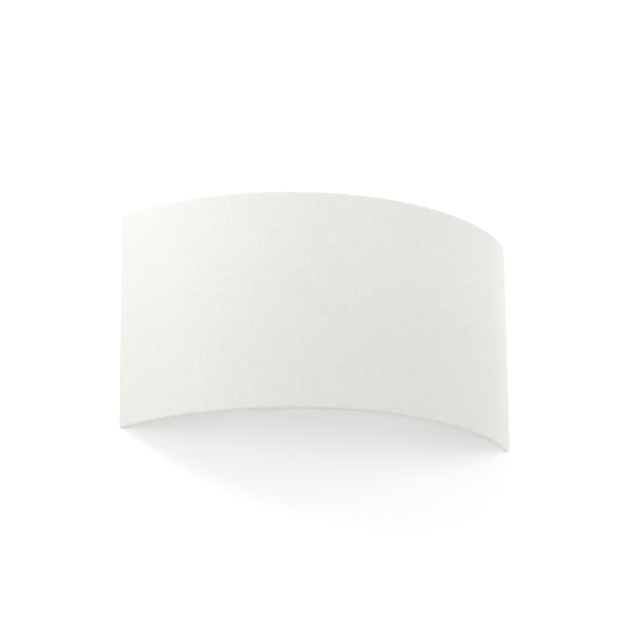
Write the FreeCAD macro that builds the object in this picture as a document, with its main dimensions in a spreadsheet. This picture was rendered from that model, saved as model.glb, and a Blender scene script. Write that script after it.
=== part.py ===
import FreeCAD, Part
import math
import os
import re

import Sketcher

# Fabric shade wall light, in millimetres.
# X runs along the wall to the viewer's right, Y points into the wall, Z points up.
# The wall is the plane Y = 0, and the origin is the middle of the wall bracket's back face,
# at half the shade's height.

SIZES = {
    # shade
    "shade_width": 360,
    "shade_height": 200,
    "shade_depth": 100,
    "fabric_thickness": 0.6,
    "glue_film": 0.1,
    "liner_thickness": 0.4,
    "frame_wire": 3,
    "hem_clearance": 0.2,
    "hem_lip": 8,
    "wall_gap": 0.3,
    "trim_margin": 4.8,
    # carrier strap that hangs on the studs
    "strap_thickness": 1.5,
    "strap_above": 7,
    "strap_below": 15,
    "strap_crank": 150,
    "strap_bend": 2,
    "strap_clearance": 0.2,
    "slot_clearance": 0.3,
    # wall bracket
    "bracket_length": 124,
    "bracket_height": 24,
    "bracket_thickness": 2,
    "bracket_corner": 3,
    "wall_slot_spacing": 60,
    "wall_slot_length": 16,
    "wall_slot_width": 5,
    "cable_hole": 12,
    # studs and their nuts
    "stud_spacing": 100,
    "stud_diameter": 4,
    "stud_length": 34,
    "nut_flats": 7,
    "nut_thickness": 3.2,
    "washer_diameter": 9,
    "washer_thickness": 0.8,
    "thread_clearance": 0.05,
    "hole_clearance": 0.25,
    "thumb_diameter": 12,
    "thumb_length": 8,
    "thumb_grooves": 24,
    "groove_depth": 0.4,
    # wall tray
    "tray_width": 200,
    "tray_height": 90,
    "tray_depth": 18,
    "tray_sheet": 1,
    "tray_corner": 6,
    "tray_edge": 0.8,
    # terminal block
    "block_width": 34,
    "block_height": 16,
    "block_depth": 12,
    "block_level": 24,
    "pole_pitch": 10,
    "pole_depth": 5,
    "tube_diameter": 5,
    "tube_bore": 3.6,
    "clamp_diameter": 2.5,
    "clamp_length": 4.5,
    "clamp_spacing": 8,
    "driver_slot": 0.6,
    "driver_depth": 0.9,
    "fixing_diameter": 3,
    # earth connection
    "earth_level": 33,
    "lug_diameter": 8,
    "lug_thickness": 0.8,
    "lug_reach": 10,
    "earth_shank": 5,
    # wiring; a drop or a step is the level of a bend below the terminal tubes' ends
    "core_diameter": 1.7,
    "core_shift": 0.9,
    "core_exit": 5,
    "live_drop": 20,
    "neutral_drop": 26,
    "neutral_step": 15,
    "neutral_clear": 1.7,
    "earth_step": 14,
    "earth_clear": 2.6,
    "lead_diameter": 5,
    "lead_depth": 9,
    "lead_start": 32,
    "grommet_diameter": 12,
    "grommet_neck": 8,
    "grommet_flange": 1.5,
    # lamp arms
    "lamp_spacing": 160,
    "lamp_reach": 48,
    "arm_width": 24,
    "arm_thickness": 2,
    "arm_top": 28,
    "arm_drop": 50,
    "arm_margin": 13,
    "arm_bend": 2,
    "arm_corner": 5,
    "rivet_diameter": 3.2,
    "rivet_spacing": 14,
    "rivet_level": 36,
    "rivet_head": 6.4,
    "rivet_height": 1.6,
    "rivet_tail": 5.4,
    # threaded nipples
    "nipple_diameter": 10,
    "nipple_bore": 7,
    "nipple_nut_flats": 14,
    "nipple_nut_thickness": 3,
    "nipple_washer": 16,
    "nipple_tail": 1.2,
    # lamp holders
    "holder_diameter": 28,
    "holder_wall": 2,
    "cap_floor": 8,
    "cap_step": 12,
    "cap_height": 18,
    "insert_height": 12,
    "insert_clearance": 0.2,
    "holder_height": 50,
    "skirt_top": 24,
    "skirt_web": 0.3,
    "sleeve_diameter": 15.8,
    "sleeve_wall": 0.5,
    "sleeve_height": 20,
    "spring_sheet": 0.4,
    "spring_width": 4,
    "spring_foot": 5.2,
    "spring_reach": 3,
    "spring_rise": 2.6,
    "contact_gap": 0.1,
    # bulbs
    "bulb_diameter": 45,
    "dome_wall": 0.8,
    "button_diameter": 4.8,
    "button_height": 1.2,
    "glass_height": 3.8,
    "thread_pitch": 2.8,
    "thread_turns": 6,
    "shell_crest": 13.9,
    "shell_root": 13,
    "shell_wall": 0.3,
    "collar_neck": 15,
    "collar_straight": 2,
    "collar_rim": 32,
    "collar_flare": 16,
    "collar_band": 2,
    "collar_wall": 1.2,
    "board_thickness": 1.2,
    "board_clearance": 0.3,
}

# Sizes and places that follow from the sizes above. All places are in the light's own frame.
PLACES = {
    "arc_radius": "((shade_width / 2) ^ 2 + shade_depth ^ 2) / (2 * shade_depth)",
    "arc_centre": "arc_radius - shade_depth",
    "arc_swing": "2 * asin(shade_width / 2 / arc_radius) + trim_margin / arc_radius * 1 rad",
    "skin_inside": "arc_radius - fabric_thickness",
    "liner_outside": "skin_inside - glue_film",
    "liner_inside": "liner_outside - liner_thickness",
    "wire_line": "liner_inside - hem_clearance - frame_wire / 2",
    "lip_outside": "wire_line - frame_wire / 2 - hem_clearance",
    "lip_inside": "lip_outside - fabric_thickness",
    "roll_line": "(arc_radius + lip_inside) / 2",
    "roll_level": "shade_height / 2 - (arc_radius - lip_inside) / 2",
    "upright_y": "-frame_wire / 2 - wall_gap",
    "upright_swing": "acos((arc_centre - upright_y) / wire_line)",
    "upright_x": "wire_line * sin(upright_swing)",
    "upright_half": "roll_level - frame_wire / 2",
    "stud_x": "stud_spacing / 2",
    "tray_inside": "tray_sheet - tray_depth",
    "washer_front": "-tray_depth - washer_thickness",
    "nut_front": "washer_front - nut_thickness",
    "strap_back": "nut_front - strap_clearance",
    "strap_front": "strap_back - strap_thickness",
    "strap_lay": "strap_back - strap_thickness / 2",
    "strap_end": "upright_x - frame_wire / 2",
    "crank_inner": "strap_crank - (upright_y - strap_lay)",
    "crank_shift": "strap_thickness * tan(22.5 deg)",
    "thumb_back": "strap_front - strap_clearance",
    "block_back": "tray_inside + block_depth",
    "pole_y": "tray_inside + pole_depth",
    "lead_y": "-lead_depth",
    "lamp_x": "lamp_spacing / 2",
    "lamp_y": "-lamp_reach",
    "shelf_top": "-arm_drop",
    "shelf_bottom": "shelf_top - arm_thickness",
    "arm_front": "-tray_depth - arm_thickness",
    "nipple_washer_bottom": "shelf_bottom - washer_thickness",
    "nipple_nut_bottom": "nipple_washer_bottom - nipple_nut_thickness",
    "nipple_bottom": "nipple_nut_bottom - nipple_tail",
    "insert_radius": "holder_diameter / 2 - holder_wall - insert_clearance",
    "insert_bottom": "shelf_top + cap_step",
    "insert_top": "insert_bottom + insert_height",
    "bulb_tip": "insert_top + spring_rise + spring_sheet + contact_gap",
    "shell_bottom": "button_height + glass_height",
    "shell_top": "shell_bottom + thread_pitch * thread_turns",
    "flare_bottom": "shell_top + collar_straight",
    "collar_top": "flare_bottom + collar_flare + collar_band",
    "dome_centre": "collar_top + sqrt((bulb_diameter / 2) ^ 2 - (collar_rim / 2) ^ 2)",
}

# A pan head's radius and height, in radii of its shank.
PAN_HEAD = 1.9
PAN_RISE = 1.2

# The share of the shorter run beside it that the arc at a core's corner takes.
CORNER_SHARE = 0.45

SIDES = (("left", "-"), ("right", ""))

doc = FreeCAD.newDocument("FabricShadeWallLight")
nodes = []


def full(formula):
    """The formula with each bare name written as a cell of the sheet that holds it."""
    def cell(match):
        name = match.group()
        if name in SIZES:
            return "Sizes." + name
        if name in PLACES:
            return "Places." + name
        return name
    return re.sub(r"[a-z][a-z_]+", cell, str(formula))


def fill_sheet(label, cells):
    """A spreadsheet with one named cell to a row."""
    sheet = doc.addObject("Spreadsheet::Sheet", label)
    for row, (name, text) in enumerate(cells.items(), start=1):
        sheet.set(f"A{row}", name)
        sheet.set(f"B{row}", text)
        sheet.setAlias(f"B{row}", name)
    doc.recompute()
    return sheet


fill_sheet("Sizes", {name: str(size) for name, size in SIZES.items()})
places = fill_sheet("Places", {name: "=" + full(formula) for name, formula in PLACES.items()})


def value(formula):
    """The formula's present number, in millimetres or degrees."""
    found = places.evalExpression(full(formula))
    return float(getattr(found, "Value", found))


def place(piece, x=0, y=0, z=0):
    """Tie the piece's position to formulas."""
    for axis, formula in zip("xyz", (x, y, z)):
        piece.setExpression("Placement.Base." + axis, full(formula))


# ---- sketches ----

def new_body(label):
    body = doc.addObject("PartDesign::Body", label)
    body.Label = label
    return body


def new_sketch(body, plane, level=0):
    """An empty sketch on one of the body's own origin planes, moved along the plane's normal."""
    support = next(item for item in body.Origin.OriginFeatures if item.Role == plane)
    sketch = body.newObject("Sketcher::SketchObject", "Sketch")
    sketch.AttachmentSupport = [(support, "")]
    sketch.MapMode = "FlatFace"
    sketch.setExpression("AttachmentOffset.Base.z", full(level))
    return sketch


def tie(sketch, kind, geometry, point, formula):
    """Hold one coordinate of a sketched point at a formula."""
    number = sketch.addConstraint(
        Sketcher.Constraint("Distance" + kind, -1, 1, geometry, point, value(formula)))
    sketch.setExpression(f"Constraints[{number}]", full(formula))


def circle(sketch, x, y, radius):
    centre = FreeCAD.Vector(value(x), value(y), 0)
    geometry = sketch.addGeometry(Part.Circle(centre, FreeCAD.Vector(0, 0, 1), value(radius)))
    tie(sketch, "X", geometry, 3, x)
    tie(sketch, "Y", geometry, 3, y)
    number = sketch.addConstraint(Sketcher.Constraint("Radius", geometry, value(radius)))
    sketch.setExpression(f"Constraints[{number}]", full(radius))


def arc_between(start, end, centre, turn):
    """The sketch arc from start to end about centre, and the numbers of its two end points."""
    first, last = (start, end) if turn > 0 else (end, start)
    middle = FreeCAD.Vector(*centre, 0)
    angles = [math.atan2(point[1] - centre[1], point[0] - centre[0]) for point in (first, last)]
    radius = math.dist(first, centre)
    whole = Part.Circle(middle, FreeCAD.Vector(0, 0, 1), radius)
    ends = (1, 2) if turn > 0 else (2, 1)
    return Part.ArcOfCircle(whole, *angles), ends


def outline(sketch, corners):
    """A closed outline. A corner is (x, y), or (x, y, centre x, centre y, turn) where an arc
    leaves it: turn is 1 for an arc that runs counter-clockwise and -1 for one that runs clockwise."""
    spots = [(value(corner[0]), value(corner[1])) for corner in corners]
    edges = []
    for number, corner in enumerate(corners):
        start = spots[number]
        end = spots[(number + 1) % len(spots)]
        if len(corner) == 2:
            line = Part.LineSegment(FreeCAD.Vector(*start, 0), FreeCAD.Vector(*end, 0))
            edges.append((sketch.addGeometry(line), 1, 2))
            continue
        centre = (value(corner[2]), value(corner[3]))
        arc, ends = arc_between(start, end, centre, corner[4])
        geometry = sketch.addGeometry(arc)
        edges.append((geometry, *ends))
    for number, (geometry, start_point, end_point) in enumerate(edges):
        following = edges[(number + 1) % len(edges)]
        sketch.addConstraint(
            Sketcher.Constraint("Coincident", geometry, end_point, following[0], following[1]))
        tie(sketch, "X", geometry, start_point, corners[number][0])
        tie(sketch, "Y", geometry, start_point, corners[number][1])
        if len(corners[number]) == 5:
            start, end = spots[number], spots[(number + 1) % len(spots)]
            wide = abs(end[0] - start[0]) >= abs(end[1] - start[1])
            tie(sketch, "Y" if wide else "X", geometry, 3, corners[number][3 if wide else 2])


def rectangle(sketch, left, right, low, high):
    outline(sketch, [(left, low), (right, low), (right, high), (left, high)])


def rounded_rectangle(sketch, half_width, half_height, radius):
    """A rectangle about the sketch's origin with four rounded corners."""
    across, up = f"({half_width}) - ({radius})", f"({half_height}) - ({radius})"
    outline(sketch, [
        (across, f"-({half_height})", across, f"-({up})", 1),
        (half_width, f"-({up})"),
        (half_width, up, across, up, 1),
        (across, half_height),
        (f"-({across})", half_height, f"-({across})", up, 1),
        (f"-({half_width})", up),
        (f"-({half_width})", f"-({up})", f"-({across})", f"-({up})", 1),
        (f"-({across})", f"-({half_height})"),
    ])


def level_slot(sketch, middle, length, width):
    """A round-ended slot along the sketch's first axis."""
    half, reach = f"({width}) / 2", f"(({length}) - ({width})) / 2"
    left, right = f"{middle} - {reach}", f"{middle} + {reach}"
    outline(sketch, [
        (left, f"-{half}"),
        (right, f"-{half}", right, 0, 1),
        (right, half),
        (left, half, left, 0, 1),
    ])


# ---- features ----

def finish_feature(body, feature):
    body.Tip = feature
    doc.recompute()
    return feature


def pad(body, sketch, length, both_ways=False, reverse=False):
    feature = body.newObject("PartDesign::Pad", "Pad")
    feature.Profile = sketch
    feature.setExpression("Length", full(length))
    if both_ways:
        feature.SideType = "Symmetric"
    feature.Reversed = reverse
    return finish_feature(body, feature)


def pocket(body, sketch, depth=None, both_ways=False, reverse=False):
    """Cut the sketch out of the body, to a depth or right through, and see that it cuts."""
    before = body.Shape.Volume
    feature = body.newObject("PartDesign::Pocket", "Pocket")
    feature.Profile = sketch
    feature.Reversed = reverse
    if both_ways:
        feature.SideType = "Symmetric"
    if depth is None:
        feature.Type = "ThroughAll"
    else:
        feature.setExpression("Length", full(depth))
    finish_feature(body, feature)
    if not feature.Shape.Volume < before - 1e-6:
        raise ValueError(f"{body.Label}: the pocket {feature.Name} cuts nothing")
    return feature


def revolve(body, sketch, swing="360 deg"):
    """Turn the sketch about its own second axis, evenly to both sides."""
    feature = body.newObject("PartDesign::Revolution", "Revolution")
    feature.Profile = sketch
    feature.ReferenceAxis = (sketch, ["V_Axis"])
    feature.setExpression("Angle", full(swing))
    feature.Midplane = True
    return finish_feature(body, feature)


def edges_at(body, spots):
    """Names of the straight edges whose two ends both lie at one of the spots (None is free)."""
    def lies_at(point, spot):
        near = zip((point.x, point.y, point.z), spot)
        return all(want is None or abs(have - want) < 1e-4 for have, want in near)
    names = []
    for number, edge in enumerate(body.Shape.Edges, start=1):
        ends = [vertex.Point for vertex in edge.Vertexes]
        if len(ends) == 2 and any(all(lies_at(end, spot) for end in ends) for spot in spots):
            names.append(f"Edge{number}")
    return names


def fillet(body, spots, radius):
    """Round the edges found at the spots, which are given in the body's own frame."""
    names = edges_at(body, spots)
    if not names:
        raise ValueError(f"{body.Label}: no edge to round")
    base = body.Tip
    feature = body.newObject("PartDesign::Fillet", "Fillet")
    feature.Base = (base, names)
    feature.setExpression("Radius", full(radius))
    return finish_feature(body, feature)


def turned(label, corners, x=0, y=0, z=0, plane="XZ_Plane"):
    """A piece turned about its own upright axis, or about Y where plane is XY_Plane."""
    body = new_body(label)
    sketch = new_sketch(body, plane)
    outline(sketch, corners)
    revolve(body, sketch)
    place(body, x, y, z)
    return body


def keep(piece):
    """Count the piece as a node of the light."""
    nodes.append(piece)
    return piece


def group(label, pieces):
    """One node of several like pieces, which stay separate solids."""
    together = doc.addObject("Part::Compound", label)
    together.Label = label
    together.Links = pieces
    return keep(together)


# ---- shade ----

def trim_to_wall(body):
    """Cut off what reaches behind the wall plane; the body's origin is the shade arc's centre."""
    sketch = new_sketch(body, "XY_Plane")
    rectangle(sketch, "-shade_width", "shade_width", "-arc_centre", "shade_depth - arc_centre")
    pocket(body, sketch, both_ways=True)


def make_shade_fabric():
    """The outer skin with its hem rolled inwards over the frame wire at the top and the bottom."""
    body = new_body("shade_fabric")
    place(body, y="arc_centre")
    wall = new_sketch(body, "YZ_Plane")
    rectangle(wall, "-arc_radius", "-skin_inside", "-roll_level", "roll_level")
    revolve(body, wall, "arc_swing")
    hem = new_sketch(body, "YZ_Plane")
    lip_end = "shade_height / 2 - hem_lip"
    outline(hem, [
        ("-arc_radius", "roll_level", "-roll_line", "roll_level", -1),
        ("-lip_inside", "roll_level"),
        ("-lip_inside", lip_end),
        ("-lip_outside", lip_end),
        ("-lip_outside", "roll_level", "-roll_line", "roll_level", 1),
        ("-skin_inside", "roll_level"),
    ])
    upper_hem = revolve(body, hem, "arc_swing")
    mirror = body.newObject("PartDesign::Mirrored", "Mirrored")
    mirror.Originals = [upper_hem]
    level = next(item for item in body.Origin.OriginFeatures if item.Role == "XY_Plane")
    mirror.MirrorPlane = (level, [""])
    finish_feature(body, mirror)
    trim_to_wall(body)
    keep(body)


def make_shade_liner():
    body = new_body("shade_liner")
    place(body, y="arc_centre")
    sketch = new_sketch(body, "YZ_Plane")
    rectangle(sketch, "-liner_outside", "-liner_inside", "-roll_level", "roll_level")
    revolve(body, sketch, "arc_swing")
    trim_to_wall(body)
    keep(body)


def make_frame_wires():
    """Two arc wires in the hems, and an upright wire welded between their ends on each side."""
    for label, level in (("upper_frame_wire", "roll_level"), ("lower_frame_wire", "-roll_level")):
        body = new_body(label)
        place(body, y="arc_centre", z=level)
        sketch = new_sketch(body, "YZ_Plane")
        circle(sketch, "-wire_line", 0, "frame_wire / 2")
        revolve(body, sketch, "2 * upright_swing")
        keep(body)
    for label, side in (("left_frame_upright", "-"), ("right_frame_upright", "")):
        body = new_body(label)
        place(body, side + "upright_x", "upright_y")
        sketch = new_sketch(body, "XY_Plane")
        circle(sketch, 0, 0, "frame_wire / 2")
        pad(body, sketch, "2 * upright_half", both_ways=True)
        keep(body)


def make_carrier_strap():
    """A cranked flat bar between the uprights; its two slots, open below, drop over the studs."""
    body = new_body("carrier_strap")
    plan = new_sketch(body, "XY_Plane", "-strap_below")
    wall_back = "upright_y + strap_thickness / 2"
    wall_front = "upright_y - strap_thickness / 2"
    back_line = [
        ("strap_end", wall_back),
        ("strap_crank", wall_back),
        ("crank_inner", "strap_back"),
    ]
    front_line = [
        ("(crank_inner + crank_shift)", "strap_front"),
        ("(strap_crank + crank_shift)", wall_front),
        ("strap_end", wall_front),
    ]
    mirrored_back = [("-" + x, y) for x, y in reversed(back_line)]
    mirrored_front = [("-" + x, y) for x, y in reversed(front_line)]
    outline(plan, back_line + mirrored_back + mirrored_front + front_line)
    pad(body, plan, "strap_above + strap_below")

    def bends(corners):
        return [(side * value(x), value(y), None) for x, y in corners for side in (-1, 1)]

    fillet(body, bends([back_line[2], front_line[1]]), "strap_bend")
    fillet(body, bends([back_line[1], front_line[0]]), "strap_bend + strap_thickness")
    slots = new_sketch(body, "XZ_Plane")
    half = "(stud_diameter / 2 + slot_clearance)"
    for middle in ("-stud_x", "stud_x"):
        below = "-strap_below - strap_above"
        outline(slots, [
            (f"{middle} - {half}", below),
            (f"{middle} + {half}", below),
            (f"{middle} + {half}", 0, middle, 0, 1),
            (f"{middle} - {half}", 0),
        ])
    pocket(body, slots, both_ways=True)
    keep(body)


# ---- wall bracket, studs and tray ----

def make_mounting_bracket():
    """The flat strap that is screwed to the wall through its two slots."""
    body = new_body("mounting_bracket")
    face = new_sketch(body, "XZ_Plane")
    rounded_rectangle(face, "bracket_length / 2", "bracket_height / 2", "bracket_corner")
    pad(body, face, "bracket_thickness")
    holes = new_sketch(body, "XZ_Plane")
    circle(holes, 0, 0, "cable_hole / 2")
    for side in ("-", ""):
        level_slot(holes, side + "wall_slot_spacing / 2", "wall_slot_length", "wall_slot_width")
        circle(holes, side + "stud_x", 0, "stud_diameter / 2 + thread_clearance")
    pocket(body, holes, both_ways=True)
    keep(body)


def hex_nut(label, flats, thickness, bore, plane, x, y, z):
    """A six-sided nut with its first face on the plane; it grows along the plane's normal."""
    body = new_body(label)
    face = new_sketch(body, plane)
    corners = []
    for number in range(6):
        turn = f"({30 + 60 * number} deg)"
        corners.append((f"({flats}) / 2 / cos(30 deg) * cos{turn}",
                        f"({flats}) / 2 / cos(30 deg) * sin{turn}"))
    outline(face, corners)
    circle(face, 0, 0, bore)
    pad(body, face, thickness)
    place(body, x, y, z)
    return body


def ring(label, outside, inside, thickness, plane, x, y, z):
    """A flat ring that grows along the plane's normal."""
    body = new_body(label)
    face = new_sketch(body, plane)
    circle(face, 0, 0, outside)
    circle(face, 0, 0, inside)
    pad(body, face, thickness)
    place(body, x, y, z)
    return body


def make_studs_and_nuts():
    """Two studs in the bracket, with a lock nut on the bracket and a washer and nut on the tray."""
    studs, lock_nuts, washers, tray_nuts = [], [], [], []
    bore = "stud_diameter / 2 + thread_clearance"
    for number, side in enumerate(("-", ""), start=1):
        stud_x = side + "stud_x"
        stud = new_body(f"support_stud_{number}")
        face = new_sketch(stud, "XZ_Plane")
        circle(face, 0, 0, "stud_diameter / 2")
        pad(stud, face, "stud_length")
        place(stud, stud_x)
        studs.append(stud)
        lock_nuts.append(hex_nut(f"lock_nut_{number}", "nut_flats", "nut_thickness", bore,
                                 "XZ_Plane", stud_x, "-bracket_thickness", 0))
        washers.append(ring(f"tray_washer_{number}", "washer_diameter / 2",
                            "stud_diameter / 2 + hole_clearance", "washer_thickness",
                            "XZ_Plane", stud_x, "-tray_depth", 0))
        tray_nuts.append(hex_nut(f"tray_nut_{number}", "nut_flats", "nut_thickness", bore,
                                 "XZ_Plane", stud_x, "washer_front", 0))
    group("support_studs", studs)
    group("stud_lock_nuts", lock_nuts)
    group("tray_washers", washers)
    group("tray_nuts", tray_nuts)


def make_wall_tray():
    """The pressed back plate: a shallow box, open towards the wall."""
    body = new_body("wall_tray")
    face = new_sketch(body, "XZ_Plane")
    rounded_rectangle(face, "tray_width / 2", "tray_height / 2", "tray_corner")
    pad(body, face, "tray_depth")
    base = body.Tip
    rim = [f"Edge{number}" for number, edge in enumerate(base.Shape.Edges, start=1)
           if all(abs(vertex.Point.y + value("tray_depth")) < 1e-4 for vertex in edge.Vertexes)]
    rounding = body.newObject("PartDesign::Fillet", "Fillet")
    rounding.Base = (base, rim)
    rounding.setExpression("Radius", full("tray_edge"))
    finish_feature(body, rounding)
    inside = new_sketch(body, "XZ_Plane")
    rounded_rectangle(inside, "tray_width / 2 - tray_sheet", "tray_height / 2 - tray_sheet",
                      "tray_corner - tray_sheet")
    pocket(body, inside, "tray_depth - tray_sheet", reverse=True)
    front_holes = new_sketch(body, "XZ_Plane")
    circle(front_holes, "pole_pitch / 2", "block_level", "fixing_diameter / 2 + thread_clearance")
    circle(front_holes, 0, "-earth_level", "stud_diameter / 2 + thread_clearance")
    for side in ("-", ""):
        circle(front_holes, side + "stud_x", 0, "stud_diameter / 2 + hole_clearance")
        for step in ("-", "+"):
            circle(front_holes, f"{side}lamp_x {step} rivet_spacing / 2", "-rivet_level",
                   "rivet_diameter / 2 + thread_clearance")
    pocket(body, front_holes, both_ways=True)
    lead_holes = new_sketch(body, "XY_Plane")
    for side in ("-", ""):
        circle(lead_holes, side + "lamp_x", "lead_y", "grommet_neck / 2")
    pocket(body, lead_holes)
    keep(body)


def make_thumb_nuts():
    """Two knurled nuts that lock the shade's strap on the studs."""
    for label, side in (("left_thumb_nut", "-"), ("right_thumb_nut", "")):
        body = new_body(label)
        face = new_sketch(body, "XZ_Plane")
        circle(face, 0, 0, "thumb_diameter / 2")
        circle(face, 0, 0, "stud_diameter / 2 + thread_clearance")
        pad(body, face, "thumb_length")
        groove = new_sketch(body, "XZ_Plane")
        outline(groove, [
            ("thumb_diameter / 2 - groove_depth", 0),
            ("thumb_diameter / 2 + groove_depth", "-groove_depth"),
            ("thumb_diameter / 2 + groove_depth", "groove_depth"),
        ])
        cut = pocket(body, groove, both_ways=True)
        pattern = body.newObject("PartDesign::PolarPattern", "PolarPattern")
        pattern.Originals = [cut]
        pattern.Axis = (groove, ["N_Axis"])
        pattern.Angle = 360
        pattern.setExpression("Occurrences", full("thumb_grooves"))
        finish_feature(body, pattern)
        place(body, side + "stud_x", "thumb_back")
        keep(body)


# ---- terminal block and earth ----

def pole_x(number):
    return f"{number} * pole_pitch"


def make_terminal_block():
    """A three-pole block on the tray's inner face, with its tubes, clamp screws and fixing screw."""
    body = new_body("terminal_block")
    place(body, y="tray_inside", z="block_level")
    face = new_sketch(body, "XZ_Plane")
    rectangle(face, "-block_width / 2", "block_width / 2", "-block_height / 2", "block_height / 2")
    pad(body, face, "block_depth", reverse=True)
    bores = new_sketch(body, "XY_Plane")
    wells = new_sketch(body, "XZ_Plane", "-block_depth")
    for number in (-1, 0, 1):
        circle(bores, pole_x(number), "pole_depth", "tube_diameter / 2 + thread_clearance")
        for step in ("-", ""):
            circle(wells, pole_x(number), step + "clamp_spacing / 2",
                   "clamp_diameter / 2 + hole_clearance")
    pocket(body, bores, both_ways=True)
    pocket(body, wells, "block_depth - pole_depth", reverse=True)
    fixing = new_sketch(body, "XZ_Plane")
    circle(fixing, "pole_pitch / 2", 0, "fixing_diameter / 2 + thread_clearance")
    pocket(body, fixing, both_ways=True)
    keep(body)

    tubes, clamps = [], []
    for number in (-1, 0, 1):
        tube = new_body(f"terminal_tube_{number + 2}")
        section = new_sketch(tube, "XY_Plane")
        circle(section, 0, 0, "tube_diameter / 2")
        circle(section, 0, 0, "tube_bore / 2")
        pad(tube, section, "block_height", both_ways=True)
        taps = new_sketch(tube, "XZ_Plane")
        for step in ("-", ""):
            circle(taps, 0, step + "clamp_spacing / 2", "clamp_diameter / 2 + thread_clearance")
        pocket(tube, taps, "tube_diameter")
        place(tube, pole_x(number), "pole_y", "block_level")
        tubes.append(tube)
        for step in ("-", ""):
            clamp = new_body(f"clamp_screw_{len(clamps) + 1}")
            head = new_sketch(clamp, "XZ_Plane")
            circle(head, 0, 0, "clamp_diameter / 2")
            pad(clamp, head, "clamp_length", reverse=True)
            driver = new_sketch(clamp, "XZ_Plane", "-clamp_length")
            rectangle(driver, "-clamp_diameter", "clamp_diameter",
                      "-driver_slot / 2", "driver_slot / 2")
            pocket(clamp, driver, "driver_depth", reverse=True)
            place(clamp, pole_x(number), "pole_y + core_diameter / 2 + thread_clearance",
                  f"block_level + {step}clamp_spacing / 2")
            clamps.append(clamp)
    group("terminal_tubes", tubes)
    group("terminal_clamp_screws", clamps)
    keep(pan_screw("block_fixing_screw", "fixing_diameter / 2", "block_depth + tray_sheet",
                   "pole_pitch / 2", "block_back", "block_level"))


def pan_screw(label, radius, shank, x, y, z):
    """A screw that points at the viewer: its head's flat lies on the plane Y = y."""
    head = f"({radius}) * {PAN_HEAD}"
    rise = f"({radius}) * {PAN_RISE}"
    return turned(label, [
        (0, f"-({shank})"),
        (radius, f"-({shank})"),
        (radius, 0),
        (head, 0),
        (head, f"({rise}) / 2"),
        (f"({head}) - ({rise}) / 2", rise),
        (0, rise),
    ], x, y, z, plane="XY_Plane")


def make_earth_connection():
    """A screw in the tray that clamps the earth wire's ring lug over a washer."""
    lug_back = "tray_inside + washer_thickness + lug_thickness"
    keep(ring("earth_washer", "washer_diameter / 2", "stud_diameter / 2 + hole_clearance",
              "washer_thickness", "XZ_Plane", 0, "tray_inside + washer_thickness", "-earth_level"))
    lug = new_body("earth_lug")
    plate = new_sketch(lug, "XZ_Plane")
    half = "lug_diameter / 2"
    tail = "core_diameter / 2 + lug_thickness"
    rise = f"sqrt(({half}) ^ 2 - ({tail}) ^ 2)"
    outline(plate, [
        (tail, rise),
        (tail, "lug_reach"),
        (f"-({tail})", "lug_reach"),
        (f"-({tail})", rise, 0, 0, 1),
    ])
    circle(plate, 0, 0, "stud_diameter / 2 + hole_clearance")
    pad(lug, plate, "lug_thickness")
    barrel = new_sketch(lug, "XY_Plane", half)
    circle(barrel, 0, f"{tail} - lug_thickness", tail)
    pad(lug, barrel, f"lug_reach - {half}")
    bore = new_sketch(lug, "XY_Plane", "lug_reach")
    circle(bore, 0, f"{tail} - lug_thickness", "core_diameter / 2 + thread_clearance")
    pocket(lug, bore, f"(lug_reach - {half}) / 2")
    place(lug, 0, lug_back, "-earth_level")
    keep(lug)
    keep(pan_screw("earth_screw", "stud_diameter / 2", "earth_shank", 0, lug_back, "-earth_level"))


# ---- wiring ----

def rounded_route(points):
    """Straight runs joined by tangent arcs, each as large as its two runs allow."""
    edges = []
    start = points[0]
    for before, corner, after in zip(points, points[1:], points[2:]):
        back = (before - corner).normalize()
        onward = (after - corner).normalize()
        reach = CORNER_SHARE * min((before - corner).Length, (after - corner).Length)
        first = corner + back * reach
        last = corner + onward * reach
        half_turn = (math.pi - back.getAngle(onward)) / 2
        radius = reach / math.tan(half_turn)
        inward = (back + onward).normalize()
        centre = corner + inward * (radius / math.cos(half_turn))
        middle = centre - inward * radius
        edges.append(Part.LineSegment(start, first).toShape())
        edges.append(Part.Arc(first, middle, last).toShape())
        start = last
    edges.append(Part.LineSegment(start, points[-1]).toShape())
    return Part.Wire(edges)


def tube_along(route, diameter):
    """A round cord along a route of tangent edges."""
    start = route.Edges[0]
    forward = start.tangentAt(start.FirstParameter)
    section = Part.Wire(Part.makeCircle(diameter / 2, start.Vertexes[0].Point, forward))
    return route.makePipeShell([section], True, True)


def cord(label, routes, diameter):
    """A node of one or more cords, given by their corner points."""
    shapes = [tube_along(rounded_route([FreeCAD.Vector(*point) for point in points]), diameter)
              for points in routes]
    piece = doc.addObject("Part::Feature", label)
    piece.Label = label
    piece.Shape = shapes[0] if len(shapes) == 1 else Part.makeCompound(shapes)
    keep(piece)


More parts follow.
